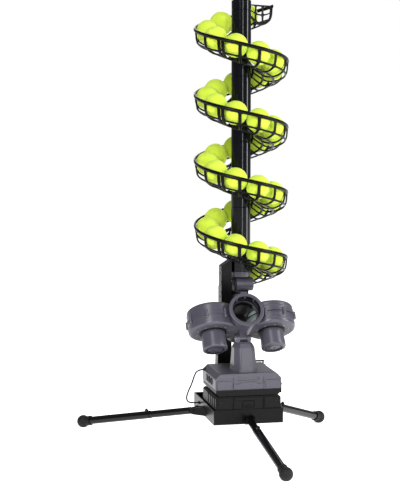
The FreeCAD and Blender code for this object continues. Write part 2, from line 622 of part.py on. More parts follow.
def pipe(name, radius, extra):
    """Straight tubes along the chute's route, joined by balls at the corners."""
    pieces = []
    for n, (start, end) in enumerate(zip(CHUTE_ROUTE, CHUTE_ROUTE[1:])):
        run = end - start
        before = extra if n == 0 else 0
        beyond = extra if n == len(CHUTE_ROUTE) - 2 else 0
        straight = bind(doc.addObject("Part::Cylinder", "%s_run_%d" % (name, n)),
                        Radius=radius, Height=before + run.Length + beyond)
        low = start - run * (before / run.Length)
        straight.Placement = FreeCAD.Placement(low, FreeCAD.Rotation(V(0, 0, 1), run))
        pieces.append(straight)
        if n:
            pieces.append(ball("%s_corner_%d" % (name, n), radius, start.x, start.y, start.z))
    return fuse(name, *pieces)


chute_outer = pipe("chute_outer", "Sizes.chute_radius", 0)
chute_inner = pipe("chute_inner", "Sizes.chute_bore", 5)
head_room = block("head_room", 300, 80, 200, 0, 46, 300)
node("feed_chute", cut("chute_shape", chute_outer, chute_inner, head_room))
chute_room = pipe("chute_room", "Sizes.chute_radius + 0.2", 0)
neck = block("neck_block", 26, 24, 60, 52, column_y - 2, 446)
neck_can_room = rod("neck_can_room", "Sizes.feeder_radius + 0.1", 90,
                    feeder_left - 5, column_y, feeder_z, ALONG_X)
feeder_neck = cut("neck_shape", neck, chute_room, neck_can_room)
node("feeder_brackets", group("feeder_bracket_group", [feeder_plate, feeder_neck]))

# ------------------------------------------------ tripod legs
# A leg is drawn along +X from its hinge, with its slope and heading set by its placement.
hinge_height = size("leg_height")
foot_radius = size("foot_radius")
LEGS = {
    # name: (hinge x, hinge y, heading in degrees, hinge to foot centre)
    "front": (0.0, -141.0, -85.4, 357.0),
    "left": (-140.0, 54.0, 136.8, 471.0),
    "right": (140.0, 54.0, 45.0, 317.0),
}


def leg_place(name):
    x, y, heading, length = LEGS[name]
    slope = math.degrees(math.asin((hinge_height - size("foot_height")) / length))
    turn = FreeCAD.Rotation(V(0, 0, 1), heading) * FreeCAD.Rotation(V(0, 1, 0), slope)
    return FreeCAD.Placement(V(x, y, hinge_height), turn)


bracket_parts = []
for name, (x, y, heading, length) in LEGS.items():
    level = FreeCAD.Placement(V(x, y, hinge_height), FreeCAD.Rotation(V(0, 0, 1), heading))
    arm = bind(doc.addObject("Part::Box", "arm_" + name), Length=60, Width=30, Height=26)
    arm.Placement = level * at(-60, -15, -13)
    nose = rod("arm_nose_" + name, 13, 30)
    nose.Placement = level * at(0, -15, 0, ALONG_Y)
    slot = bind(doc.addObject("Part::Box", "arm_slot_" + name), Length=60, Width=16.8, Height=40)
    slot.Placement = level * at(-14, -8.4, -20)
    bore = rod("arm_bore_" + name, 4, 60)
    bore.Placement = level * at(0, -30, 0, ALONG_Y)
    inside = block("arm_inside_" + name, "Sizes.tray_width + 0.2", "Sizes.tray_depth + 0.2", 100,
                   0, tray_middle, 60)
    bracket_parts.append(cut("bracket_" + name, fuse("bracket_arm_" + name, arm, nose), slot, bore, inside))
    pin = rod("leg_pin_" + name, 3.9, 36)
    pin.Placement = level * at(0, -18, 0, ALONG_Y)
    bracket_parts.append(pin)
    place = leg_place(name)

    tube = rod("inner_tube_" + name, "Sizes.inner_radius", "Sizes.inner_length", 18, 0, 0, ALONG_X)
    tube_bore = rod("inner_bore_" + name, "Sizes.inner_radius - Sizes.tube_wall", 300, 30, 0, 0, ALONG_X)
    web = bind(doc.addObject("Part::Box", "leg_web_" + name), Length=20, Width=16, Height=18)
    web.Placement = at(0, -8, -9)
    eye = rod("leg_eye_" + name, 9, 16, 0, -8, 0, ALONG_Y)
    eye_bore = rod("leg_eye_bore_" + name, 3.95, 40, 0, -20, 0, ALONG_Y)
    inner_leg = fuse("inner_outer_" + name, tube, web, eye)
    node("leg_%s_inner" % name, cut("inner_shape_" + name, inner_leg, tube_bore, eye_bore), place)

    mouth = length - size("outer_length") - 8.5
    sleeve = rod("outer_tube_" + name, "Sizes.outer_radius", "Sizes.outer_length", mouth, 0, 0, ALONG_X)
    boss = rod("button_boss_" + name, 6.5, "Sizes.outer_radius + 4", mouth + 14, 0, 0)
    sleeve_bore = rod("outer_bore_" + name, "Sizes.inner_radius + Sizes.slide_play", 400,
                      mouth - 10, 0, 0, ALONG_X)
    button_bore = rod("button_bore_" + name, 4.3, 30, mouth + 14, 0, size("outer_radius") + 0.3)
    outer_leg = fuse("outer_outer_" + name, sleeve, boss)
    node("leg_%s_outer" % name, cut("outer_shape_" + name, outer_leg, sleeve_bore, button_bore), place)
    button = rod("button_" + name, 4, 5, mouth + 14, 0, size("outer_radius") + 3.1)
    node("leg_%s_button" % name, rounded("button_round_" + name, button, 1,
                                         lambda edge, middle: middle.z > size("outer_radius") + 7), place)

    dome = ball("foot_dome_" + name, "Sizes.foot_radius", length)
    cuff = rod("foot_cuff_" + name, "Sizes.outer_radius + 3.2", 30, length - 34, 0, 0, ALONG_X)
    socket = rod("foot_socket_" + name, "Sizes.outer_radius + 0.02", 40, length - 48.4, 0, 0, ALONG_X)
    ground = bind(doc.addObject("Part::Box", "ground_" + name), Length=200, Width=200, Height=50)
    foot_spot = place.multVec(V(length, 0, 0))
    ground.Placement = place.inverse() * at(foot_spot.x - 100, foot_spot.y - 100, -50)
    foot = fuse("foot_outer_" + name, dome, cuff)
    node("leg_%s_foot" % name, cut("foot_shape_" + name, foot, socket, ground), place)
node("leg_brackets", group("leg_bracket_group", bracket_parts))

# ------------------------------------------------ power cable, from the control case to the tray
CABLE_RADIUS = 2.6
CABLE_ROUTE = [V(-112, 55, 249), V(-134, 57, 246), V(-143, 61, 224), V(-150, 67, 197), V(-160, 75, 172),
               V(-165, 84, 148), V(-157, 95, 131), V(-137, 100, 127), V(-120, 101, 126.5)]


def cable_path(route):
    """Straight runs joined by tangent arcs, each arc as large as its shorter run allows."""
    edges, here, radii = [], route[0], []
    for before, corner, after in zip(route, route[1:], route[2:]):
        into = (corner - before)
        out = (after - corner)
        turn = into.getAngle(out)
        reach = 0.45 * min(into.Length, out.Length)
        radii.append(reach / math.tan(turn / 2))
        into.normalize()
        out.normalize()
        start, end = corner - into * reach, corner + out * reach
        bisector = (out - into).normalize()
        middle = corner + bisector * (radii[-1] / math.cos(turn / 2) - radii[-1])
        edges.append(Part.LineSegment(here, start).toShape())
        edges.append(Part.Arc(start, middle, end).toShape())
        here = end
    edges.append(Part.LineSegment(here, route[-1]).toShape())
    return Part.Wire(edges), radii


wire, cable_radii = cable_path(CABLE_ROUTE)
section = Part.Wire([Part.makeCircle(CABLE_RADIUS, CABLE_ROUTE[0], CABLE_ROUTE[1] - CABLE_ROUTE[0])])
cable = doc.addObject("Part::Feature", "cable_tube")
cable.Shape = wire.makePipeShell([section], True, False)
node("power_cable", cable)
print("cable length", round(wire.Length, 1), "radii", [round(radius, 1) for radius in cable_radii])
print("cable volume ratio", cable.Shape.Volume / (math.pi * CABLE_RADIUS ** 2 * wire.Length))

gland = rod("gland_body", 6, 7.5, GLAND.x, GLAND.y, GLAND.z, ALONG_X)
node("cable_gland", rounded("gland_round", gland, 1, lambda edge, middle: middle.x < GLAND.x + 0.1))
plug_end = CABLE_ROUTE[-1]
plug_start = plug_end.x + 0.3
plug_length = -size("tray_width") / 2 - 0.3 - plug_start
plug = rod("plug_body", 5.5, plug_length, plug_start, plug_end.y, plug_end.z, ALONG_X)
node("cable_plug", rounded("plug_round", plug, 0.8, lambda edge, middle: middle.x < plug_start + 0.1))

# ------------------------------------------------ the origin under the middle of the box
feet = {}
for name, (x, y, heading, length) in LEGS.items():
    flat = math.sqrt(length ** 2 - (hinge_height - size("foot_height")) ** 2)
    feet[name] = V(x + flat * math.cos(math.radians(heading)), y + flat * math.sin(math.radians(heading)), 0)
left_end = feet["left"].x - foot_radius
right_end = feet["right"].x + foot_radius
front_end = feet["front"].y - foot_radius
back_end = feet["left"].y + foot_radius
shift = V(-(left_end + right_end) / 2, -(front_end + back_end) / 2, 0)
for name, thing in list(NODES.items()):
    thing.Placement = FreeCAD.Placement(shift, UP) * thing.Placement
    sized = doc.addObject("Part::Scale", name + "_sized")
    sized.Base = group(name + "_drawn", [thing])
    sized.Uniform = True
    NODES[name] = bind(sized, UniformScale="Sizes.drawing_scale")

doc.recompute()
bad = [item.Name + " " + item.getStatusString() for item in doc.Objects
       if "Invalid" in item.State or "Error" in item.State]
if bad:
    raise SystemExit("failed objects: " + ", ".join(bad))
os.makedirs("parts", exist_ok=True)
whole = FreeCAD.BoundBox()
for name, thing in NODES.items():
    shape = thing.Shape
    if shape.isNull() or not shape.isValid() or not shape.Solids:
        raise SystemExit("bad shape: " + name)
    shape.exportStep("parts/%s.step" % name)
    whole.add(shape.optimalBoundingBox(False))
print("nodes", len(NODES), "shift", shift, "box", whole)
print("feet", {name: (spot + shift) * size("drawing_scale") for name, spot in feet.items()})
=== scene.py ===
"""The looks of the tennis ball machine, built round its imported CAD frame. Metres, +Z up, balls go to -Y."""

import json
import math

import bmesh
import bpy
import numpy as np
from mathutils import Matrix, Quaternion, Vector


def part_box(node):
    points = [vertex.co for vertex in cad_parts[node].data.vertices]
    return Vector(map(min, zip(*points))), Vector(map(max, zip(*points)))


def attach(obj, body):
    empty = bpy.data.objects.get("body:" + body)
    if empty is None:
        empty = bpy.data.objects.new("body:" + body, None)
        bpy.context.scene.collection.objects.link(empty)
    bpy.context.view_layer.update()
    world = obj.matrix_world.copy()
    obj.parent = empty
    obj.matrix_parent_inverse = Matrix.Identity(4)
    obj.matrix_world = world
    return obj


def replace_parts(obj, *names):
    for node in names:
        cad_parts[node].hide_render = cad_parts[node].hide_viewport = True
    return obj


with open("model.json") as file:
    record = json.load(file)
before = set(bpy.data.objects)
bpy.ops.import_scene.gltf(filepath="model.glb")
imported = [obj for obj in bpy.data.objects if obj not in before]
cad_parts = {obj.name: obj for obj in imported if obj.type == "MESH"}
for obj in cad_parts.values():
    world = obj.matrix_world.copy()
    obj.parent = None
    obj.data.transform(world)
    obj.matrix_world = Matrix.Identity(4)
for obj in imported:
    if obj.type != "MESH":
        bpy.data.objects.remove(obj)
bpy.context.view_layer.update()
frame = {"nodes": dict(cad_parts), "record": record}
nodes = frame["nodes"]


def middle(name):
    low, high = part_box(name)
    return (low + high) / 2


U = 0.000827                 # metres in one drawing unit

# ---------------------------------------------------------------- camera
CAMERA_DISTANCE = 4960 * U   # from the column
CAMERA_HEIGHT = 1146 * U
CAMERA_AIM_LEFT = 139 * U    # the optical axis passes this far left of the column
MACHINE_YAW = math.radians(12)
CAMERA_PITCH = math.radians(5.65)

column = middle("column_tube_2")
column_axis = Vector((column.x, column.y, 0))
to_right = Vector((math.cos(MACHINE_YAW), -math.sin(MACHINE_YAW), 0))
away = Vector((math.sin(MACHINE_YAW), math.cos(MACHINE_YAW), 0))


def add_camera():
    data = bpy.data.cameras.new("camera")
    data.lens = 107.5
    data.sensor_width = 36
    data.clip_end = 50
    camera = bpy.data.objects.new("camera", data)
    bpy.context.scene.collection.objects.link(camera)
    spot = column_axis - to_right * CAMERA_AIM_LEFT - away * CAMERA_DISTANCE
    camera.location = (spot.x, spot.y, CAMERA_HEIGHT)
    camera.rotation_euler = (math.pi / 2 - CAMERA_PITCH, 0, -MACHINE_YAW)
    bpy.context.scene.camera = camera


add_camera()


# ---------------------------------------------------------------- materials
class Nodes:
    """A few short words for building a material's node tree."""

    def __init__(self, name):
        self.material = bpy.data.materials.new(name)
        self.material.use_nodes = True
        self.tree = self.material.node_tree
        self.shader = self.tree.nodes["Principled BSDF"]
        self.place = self.tree.nodes.new("ShaderNodeTexCoord").outputs["Object"]

    def add(self, kind, **settings):
        made = self.tree.nodes.new(kind)
        for key, value in settings.items():
            setattr(made, key, value)
        return made

    def link(self, start, end):
        self.tree.links.new(start, end)

    def noise(self, scale, detail=4.0, roughness=0.5):
        made = self.add("ShaderNodeTexNoise")
        made.inputs["Scale"].default_value = scale
        made.inputs["Detail"].default_value = detail
        made.inputs["Roughness"].default_value = roughness
        self.link(self.place, made.inputs["Vector"])
        return made.outputs["Fac"]

    def spread(self, source, low, high):
        """Map a 0 to 1 value onto a range."""
        made = self.add("ShaderNodeMapRange")
        made.inputs["To Min"].default_value = low
        made.inputs["To Max"].default_value = high
        self.link(source, made.inputs["Value"])
        return made.outputs["Result"]

    def mix(self, factor, first, second):
        made = self.add("ShaderNodeMix", data_type="RGBA")
        made.inputs["A"].default_value = (*first, 1)
        made.inputs["B"].default_value = (*second, 1)
        self.link(factor, made.inputs["Factor"])
        return made.outputs["Result"]

    def bump(self, height, strength, distance):
        made = self.add("ShaderNodeBump")
        made.inputs["Strength"].default_value = strength
        made.inputs["Distance"].default_value = distance
        self.link(height, made.inputs["Height"])
        self.link(made.outputs["Normal"], self.shader.inputs["Normal"])

    def set(self, **values):
        for key, value in values.items():
            self.shader.inputs[key.replace("_", " ")].default_value = value


def plastic(name, colour, roughness, grain=900.0, grain_depth=0.00012, variation=0.12, shine=0.2):
    """Moulded plastic with a fine grain and slightly uneven gloss."""
    n = Nodes(name)
    cloud = n.noise(9.0, 3.0)
    darker = tuple(c * (1 - variation) for c in colour)
    lighter = tuple(c * (1 + variation) for c in colour)
    n.link(n.mix(cloud, darker, lighter), n.shader.inputs["Base Color"])
    n.link(n.spread(n.noise(35.0, 5.0), roughness * 0.85, roughness * 1.15), n.shader.inputs["Roughness"])
    if grain_depth:
        n.bump(n.noise(grain, 2.0), 0.35, grain_depth)
    n.set(Specular_IOR_Level=shine)
    return n.material


def metal(name, colour, roughness):
    """Dull metal, worn unevenly."""
    n = Nodes(name)
    worn = n.noise(60.0, 6.0)
    n.link(n.mix(worn, tuple(c * 0.85 for c in colour), colour), n.shader.inputs["Base Color"])
    n.link(n.spread(worn, roughness * 0.8, roughness * 1.2), n.shader.inputs["Roughness"])
    n.set(Metallic=1.0)
    return n.material


def felt(name):
    """Optic yellow ball felt: fuzzy bump, soft sheen, slightly uneven colour."""
    n = Nodes(name)
    fuzz = n.noise(520.0, 6.0, 0.7)
    cloud = n.noise(22.0, 4.0, 0.6)
    n.link(n.mix(cloud, (0.50, 0.66, 0.030), (0.62, 0.78, 0.080)), n.shader.inputs["Base Color"])
    n.bump(fuzz, 0.6, 0.0009)
    n.set(Roughness=0.95, Sheen_Weight=0.35, Sheen_Roughness=0.5, Specular_IOR_Level=0.2)
    n.shader.inputs["Sheen Tint"].default_value = (0.85, 1.0, 0.4, 1)
    return n.material


MATERIALS = {
    "grey_plastic": plastic("grey_plastic_look", (0.056, 0.053, 0.071), 0.34, shine=0.5),
    "black_plastic": plastic("black_plastic_look", (0.0045, 0.0045, 0.005), 0.4, shine=0.13),
    "trough_plastic": plastic("trough_look", (0.0015, 0.0015, 0.0015), 0.3, grain_depth=0.00006,
                              shine=0.12),
    "column_black": plastic("column_look", (0.002, 0.0025, 0.004), 0.13, grain_depth=0.0, shine=0.24),
    "ball_felt": felt("felt_look"),
    "wheel_rubber": plastic("wheel_look", (0.30, 0.36, 0.35), 0.6, grain=400.0, grain_depth=0.0002),
    "hub_metal": metal("hub_look", (0.55, 0.55, 0.57), 0.35),
    "dull_steel": metal("steel_look", (0.32, 0.32, 0.34), 0.38),
    "black_sheet": plastic("sheet_look", (0.0022, 0.0022, 0.0022), 0.3, grain=1500.0,
                           grain_depth=0.00006, shine=0.14),
    "black_rubber": plastic("rubber_look", (0.010, 0.010, 0.011), 0.6, grain=300.0, grain_depth=0.0003,
                            shine=0.2),
    "leg_tube": plastic("leg_look", (0.002, 0.002, 0.0025), 0.12, grain_depth=0.0, shine=0.3),
    "button_plastic": plastic("button_look", (0.01, 0.01, 0.01), 0.3),
    "cable_sheath": plastic("cable_look", (0.005, 0.005, 0.005), 0.42, grain_depth=0.0),
}
SLOT_OF = {part["node"]: part["material_slot"] for part in frame["record"]["subparts"]}
for name, thing in nodes.items():
    thing.data.materials.clear()
    thing.data.materials.append(MATERIALS[SLOT_OF[name]])


# ---------------------------------------------------------------- mesh helpers
def piece(name, mesh, slot, body="root", smooth=True):
    """A finished piece of the machine."""
    thing = bpy.data.objects.new(name, mesh)
    bpy.context.scene.collection.objects.link(thing)
    mesh.materials.append(MATERIALS[slot])
    if smooth:
        mesh.polygons.foreach_set("use_smooth", [True] * len(mesh.polygons))
    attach(thing, body)
    return thing


def grid_mesh(name, points, keep, closed=False):
    """A mesh from rows of points; keep(i, j) says which faces are there."""
    mesh = bpy.data.meshes.new(name)
    rows, columns = len(points), len(points[0])
    faces = []
    for i in range(rows - 1 + (1 if closed else 0)):
        for j in range(columns - 1):
            if keep(i, j):
                after = (i + 1) % rows
                start, end = i * columns + j, after * columns + j
                faces.append((start, end, end + 1, start + 1))
    mesh.from_pydata([tuple(p) for row in points for p in row], [], faces)
    bm = bmesh.new()
    bm.from_mesh(mesh)
    loose = [v for v in bm.verts if not v.link_faces]
    bmesh.ops.delete(bm, geom=loose, context="VERTS")
    bmesh.ops.recalc_face_normals(bm, faces=bm.faces)
    bm.to_mesh(mesh)
    bm.free()
    return mesh


def solidify(thing, thickness):
    step = thing.modifiers.new("wall", "SOLIDIFY")
    step.thickness = thickness
    step.offset = 0.0


def subdivide(thing, levels=2):
    step = thing.modifiers.new("smooth", "SUBSURF")
    step.levels = levels
    step.render_levels = levels


# ---------------------------------------------------------------- spiral troughs
PITCH = 221 * U
RIM_RADIUS = 157 * U
RIM_ANGLE = math.radians(168)
RIM_HEIGHT = 1387 * U
BAY = math.radians(24)
START = RIM_ANGLE - math.radians(135)
END = RIM_ANGLE + math.radians(1335)
JOINTS = [RIM_ANGLE + math.radians(63) + math.tau * n for n in range(4)]   # where one length meets the next
TROUGH_SPANS = list(zip([START] + JOINTS, JOINTS + [END]))
# the section from the rim to the column, as (radius, height below the rim)
PROFILE = [(157.2, 0), (157.0, -9), (156.6, -17), (155.9, -27), (154.4, -35), (151.5, -43), (147, -49.5),
           (141, -54.5), (131, -60), (122, -63.5), (113, -65.5), (104, -66.5), (96, -66.5), (84, -64.5),
           (77, -61), (69, -56.5), (60, -50.5), (50, -43), (43, -38), (34.5, -32)]
RAILS = {0, 5, 10, 14, 18}   # the steps of the section that run on unbroken
RIB_THICKNESS = 0.0048       # metres
RIB_HALF = math.radians(2.3)
END_RIB_HALF = math.radians(5.0)
END_GAP = math.radians(0.15)  # left open where two lengths of trough meet


def rim_height(angle):
    return RIM_HEIGHT - PITCH * (angle - RIM_ANGLE) / math.tau


def spiral_point(angle, radius, drop):
    return Vector((column_axis.x + radius * math.cos(angle), column_axis.y + radius * math.sin(angle),
                   rim_height(angle) + drop))


def add_trough(index, first, last):
    """A moulded basket: rails along the spiral, a rib across it every bay, round-cornered windows between."""
    bays = round((last - first) / BAY)
    step = (last - first) / bays
    stations, ribs = [], set()
    for bay in range(bays):
        start = first + bay * step
        half = END_RIB_HALF if bay == 0 else RIB_HALF
        ribs.add(len(stations))
        if bay:
            stations.append(start - RIB_HALF)
            ribs.add(len(stations) - 1)
            ribs.discard(len(stations))
        else:
            stations.append(start + END_GAP)
        stations.append(start + half)
        for part in (0.24, 0.5, 0.76):
            stations.append(start + step * part)
    ribs.add(len(stations))
    stations.append(last - END_RIB_HALF)
    stations.append(last - END_GAP)
    rows = [[spiral_point(angle, radius * U, drop * U) for radius, drop in PROFILE] for angle in stations]
    mesh = grid_mesh("trough_mesh", rows, lambda i, j: i in ribs or j in RAILS)
    basket = piece("trough_%d_look" % index, mesh, "trough_plastic")
    solidify(basket, RIB_THICKNESS)
    subdivide(basket)
    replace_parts(basket, "trough_%d" % index)
    # the rim is a thicker bead
    count = max(8, int((last - first) / math.radians(4)))
    bead = []
    for i in range(count + 1):
        angle = first + END_GAP + (last - first - 2 * END_GAP) * i / count
        ring = []
        for k in range(9):
            turn = math.tau * k / 8
            ring.append(spiral_point(angle, RIM_RADIUS + 3.8 * U * math.cos(turn),
                                     6.4 * U * math.sin(turn) - 3.4 * U))
        bead.append(ring)
    piece("trough_%d_rim" % index, grid_mesh("rim_mesh", bead, lambda i, j: True), "trough_plastic")


for number, (first, last) in enumerate(TROUGH_SPANS, start=1):
    add_trough(number, first, last)


def add_trough_end():
    """The upright lattice that closes the top end of the spiral."""
    angle = TROUGH_SPANS[0][0] + math.radians(1.6)
    section = [(radius, drop) for radius, drop in PROFILE if radius > 34]
    rows = []
    for share in (0.0, 0.10, 0.30, 0.47, 0.56, 0.74, 0.88, 1.0):
        rows.append([spiral_point(angle, radius * U, (share * drop) * U) for radius, drop in section])
    posts = {5, 10, 14, 18}
    mesh = grid_mesh("trough_end_mesh", rows, lambda i, j: i in (0, 3, 6) or j in posts)
    end = piece("trough_end", mesh, "trough_plastic")
    solidify(end, 0.0042)
    subdivide(end)


add_trough_end()


# ---------------------------------------------------------------- tennis balls
BALL_RADIUS = 40.3 * U
BALL_CIRCLE = 112.4 * U
BALL_DROP = -13.4 * U
BALL_ANGLES = [math.radians(angle) for angle in [68, 114] + [167.2 + 40 * n for n in range(34)]]
ROWS = ("balls_upper", "balls_middle", "balls_lower")


def seam_direction(t):
    """The closed curve on a unit ball where its two felt halves meet."""
    a, b = 0.76, 0.24
    point = Vector((a * math.cos(t) + b * math.cos(3 * t), a * math.sin(t) - b * math.sin(3 * t),
                    2 * math.sqrt(a * b) * math.sin(2 * t)))
    return point.normalized()


SEAM = [seam_direction(math.tau * i / 160) for i in range(160)]


def ball_mesh():
    bm = bmesh.new()
    bmesh.ops.create_icosphere(bm, subdivisions=5, radius=BALL_RADIUS)
    seam = np.array([tuple(s) for s in SEAM])
    for vert in bm.verts:
        direction = np.array(vert.co.normalized())
        nearest = math.acos(min(1.0, float((seam @ direction).max()))) * BALL_RADIUS
        if nearest < 0.0022:
            vert.co *= 1 - 0.022 * (1 - nearest / 0.0022)
    mesh = bpy.data.meshes.new("ball_mesh")
    bm.to_mesh(mesh)
    bm.free()
    return mesh


def add_balls():
    base = ball_mesh()
    corners = np.empty(len(base.vertices) * 3)
    base.vertices.foreach_get("co", corners)
    corners = corners.reshape(-1, 3)
    faces = np.array([tuple(p.vertices) for p in base.polygons])
    for row, name in enumerate(ROWS):
        every, sides = [], []
        for n, angle in enumerate(BALL_ANGLES[12 * row:12 * row + 12]):
            turn = 12 * row + n
            axis = (math.sin(2.3 * turn), math.cos(1.7 * turn), math.sin(1.1 * turn + 1))
            spin = Quaternion(axis, 2.399 * turn)
            rotated = corners @ np.array(spin.normalized().to_matrix()).T
            spot = np.array(spiral_point(angle, BALL_CIRCLE, BALL_DROP))
            sides.append(faces + len(corners) * n)
            every.append(rotated + spot)
        mesh = bpy.data.meshes.new(name + "_mesh")
        mesh.from_pydata(np.concatenate(every).tolist(), [], np.concatenate(sides).tolist())
        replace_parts(piece(name + "_look", mesh, "ball_felt"), name)


add_balls()


# ---------------------------------------------------------------- places on the machine
working_centre = Vector((column.x - 41 * U, column.y - 161 * U, 0))
HINGE = Vector((0, -45.7, 366.4))
HEAD_TURN = Matrix.Rotation(math.radians(-32), 3, "X")
WHEEL_PLANE = 62
WHEEL_SPREAD = 99


def base_point(x, y, z):
    """A drawing point of the base or tower, in metres."""
    return Vector((x, y, z)) * U + working_centre


def head_point(x, y, z):
    """A point of the level head's drawing, in metres on the tilted head."""
    return (HEAD_TURN @ Vector((x, y, z)) + HINGE) * U + working_centre


def add_turned(name, profile, spots, slot, body="root", sides=24):
    """A turned shape at several (place, axis) spots; its profile is (radius, height) in drawing units."""
    bm = bmesh.new()
    for place, axis in spots:
        turn = axis.normalized().to_track_quat("Z", "X").to_matrix()
        rings = []
        for radius, height in profile:
            ring = []
            for k in range(sides):
                angle = math.tau * k / sides
                local = Vector((radius * math.cos(angle), radius * math.sin(angle), height)) * U
                ring.append(bm.verts.new(place + turn @ local))
            rings.append(ring)
        for low, high in zip(rings, rings[1:]):
            for k in range(sides):
                after = (k + 1) % sides
                bm.faces.new((low[k], low[after], high[after], high[k]))
        bm.faces.new(rings[-1])
        bm.faces.new(list(reversed(rings[0])))
    bmesh.ops.recalc_face_normals(bm, faces=bm.faces)
    mesh = bpy.data.meshes.new(name + "_mesh")
    bm.to_mesh(mesh)
    bm.free()
    thing = piece(name, mesh, slot, body)
    mesh.polygons.foreach_set("use_smooth", [False] * len(mesh.polygons))
    return thing


def add_ring(name, outer, inner, height, place, axis, slot, body="root", sides=64, span=None):
    """A turned ring, or part of one, standing on its place, with softened edges. A span is two angles."""
    edge = min(0.8, height / 4)
    loop = [(inner, edge), (inner + edge, 0), (outer - edge, 0), (outer, edge), (outer, height - edge),
            (outer - edge, height), (inner + edge, height), (inner, height - edge)]
    turn = axis.normalized().to_track_quat("Z", "X").to_matrix()
    rows = []
    first, last = span or (0, math.tau * (1 - 1 / sides))
    for k in range(sides):
        angle = first + (last - first) * k / (sides - 1)
        rows.append([place + turn @ (Vector((r * math.cos(angle), r * math.sin(angle), h)) * U)
                     for r, h in loop + loop[:1]])
    mesh = grid_mesh(name + "_mesh", rows, lambda i, j: True, closed=span is None)
    bm = bmesh.new()
    bm.from_mesh(mesh)
    bmesh.ops.remove_doubles(bm, verts=bm.verts, dist=1e-6)
    bmesh.ops.recalc_face_normals(bm, faces=bm.faces)
    bm.to_mesh(mesh)
    bm.free()
    return piece(name, mesh, slot, body)


SCREW = [(3.2, 0), (3.2, 1.0), (2.5, 1.9), (1.5, 2.1), (1.4, 0.8)]


def scaled_screw(factor):
    return [(radius * factor, height * factor) for radius, height in SCREW]


# ---------------------------------------------------------------- throwing head details
head_up = HEAD_TURN @ Vector((0, 0, 1))
head_back = HEAD_TURN @ Vector((0, 1, 0))


HOUSING_BANDS = [("seam", -1.1, 83.4, "black_plastic"), ("upper_band", 20, 81.2, "grey_plastic"),
                 ("lower_band", -24, 81.2, "grey_plastic")]    # name, height, outer radius, slot


def add_head_details():
    rim_screws, under_screws = [], []
    for sign in (-1, 1):
        for n in range(8):
            angle = math.radians(22.5 + 45 * n)
            if sign * math.cos(angle) < -0.5:
                continue
            x = sign * WHEEL_SPREAD + 82 * math.cos(angle)
            y = 82 * math.sin(angle)
            rim_screws.append((head_point(x, y, WHEEL_PLANE + 12.2), head_up))
            rim_screws.append((head_point(x, y, WHEEL_PLANE - 12.2), -head_up))
        for n in range(10):
            angle = math.radians(18 + 36 * n)
            x = sign * WHEEL_SPREAD + 55 * math.cos(angle)
            under_screws.append((head_point(x, 55 * math.sin(angle), WHEEL_PLANE - 40), -head_up))
    add_turned("housing_screws", SCREW, rim_screws, "dull_steel", "head", 16)
    add_turned("underside_screws", scaled_screw(0.9), under_screws, "dull_steel", "head", 16)
    for side, sign in (("left", -1), ("right", 1)):
        place = head_point(sign * WHEEL_SPREAD, 0, WHEEL_PLANE - 43)
        add_ring("motor_collar_" + side, 46, 39.5, 3, place, head_up, "black_plastic", "head")
        place = head_point(sign * WHEEL_SPREAD, 0, WHEEL_PLANE + 39.9)
        add_ring("housing_step_" + side, 52, 47, 1.2, place, head_up, "grey_plastic", "head")
    barrel_screws = []
    for n in range(8):
        angle = math.radians(22.5 + 45 * n)
        place = head_point(54.8 * math.cos(angle), -86.5, WHEEL_PLANE + 54.8 * math.sin(angle))
        barrel_screws.append((place, head_back))
    add_turned("barrel_screws", scaled_screw(0.6), barrel_screws, "dull_steel", "head", 12)
    liner = head_point(0, -93, WHEEL_PLANE)
    add_ring("barrel_liner", 46.3, 45.4, 33, liner, head_back, "black_plastic", "head")
    for side, sign in (("left", -1), ("right", 1)):
        # the black ring is painted shade standing for the shaded groove round the lighter end disc
        place = head_point(sign * WHEEL_SPREAD, 0, WHEEL_PLANE - 101.6)
        add_ring("motor_end_shade_ring_" + side, 29.5, 26.2, 1.6, place, head_up, "black_plastic", "head")
        place = head_point(sign * WHEEL_SPREAD, 0, WHEEL_PLANE - 99.2)
        add_ring("motor_end_disc_" + side, 20, 3, 1.2, place, head_up, "grey_plastic", "head")
    # thin black sheets over the tunnel's top and bottom inside: painted shade where the tunnel's inside lies
    # in shadow
    for side, low, high in (("top", 40, 140), ("bottom", 220, 320)):
        rows = []
        for k in range(25):
            turn = math.radians(low + (high - low) * k / 24)
            rows.append([head_point(41.6 * math.cos(turn), y, WHEEL_PLANE + 41.6 * math.sin(turn))
                         for y in (-60, -30, 0, 30, 72)])
        mesh = grid_mesh("tunnel_shade_mesh", rows, lambda i, j: True)
        strip = piece("tunnel_painted_shade_" + side, mesh, "black_plastic", "head")
        solidify(strip, 0.0004)
    for side, sign in (("left", -1), ("right", 1)):
        middle_turn = math.pi if sign < 0 else 0.0
        span = (middle_turn - math.radians(100), middle_turn + math.radians(100))
        for name, height, reach, slot in HOUSING_BANDS:
            place = head_point(sign * WHEEL_SPREAD, 0, WHEEL_PLANE + height)
            add_ring("housing_%s_%s" % (name, side), reach, reach - 5, 2.4 if name == "seam" else 4, place,
                     head_up, slot, "head", 48, span)
    tab_spots = []
    for angle in (50, 90, 130):
        turn = math.radians(angle)
        place = head_point(43.2 * math.cos(turn), -94, WHEEL_PLANE + 43.2 * math.sin(turn))
        tab_spots.append((place, head_back))
    add_turned("barrel_tabs", [(2.4, 0), (2.4, 9)], tab_spots, "grey_plastic", "head", 8)


add_head_details()


# ---------------------------------------------------------------- base details
CASE_FRONT = -121
SOCKET_HEIGHT = 230.3
out_front = Vector((0, -1, 0))
out_left = Vector((-1, 0, 0))


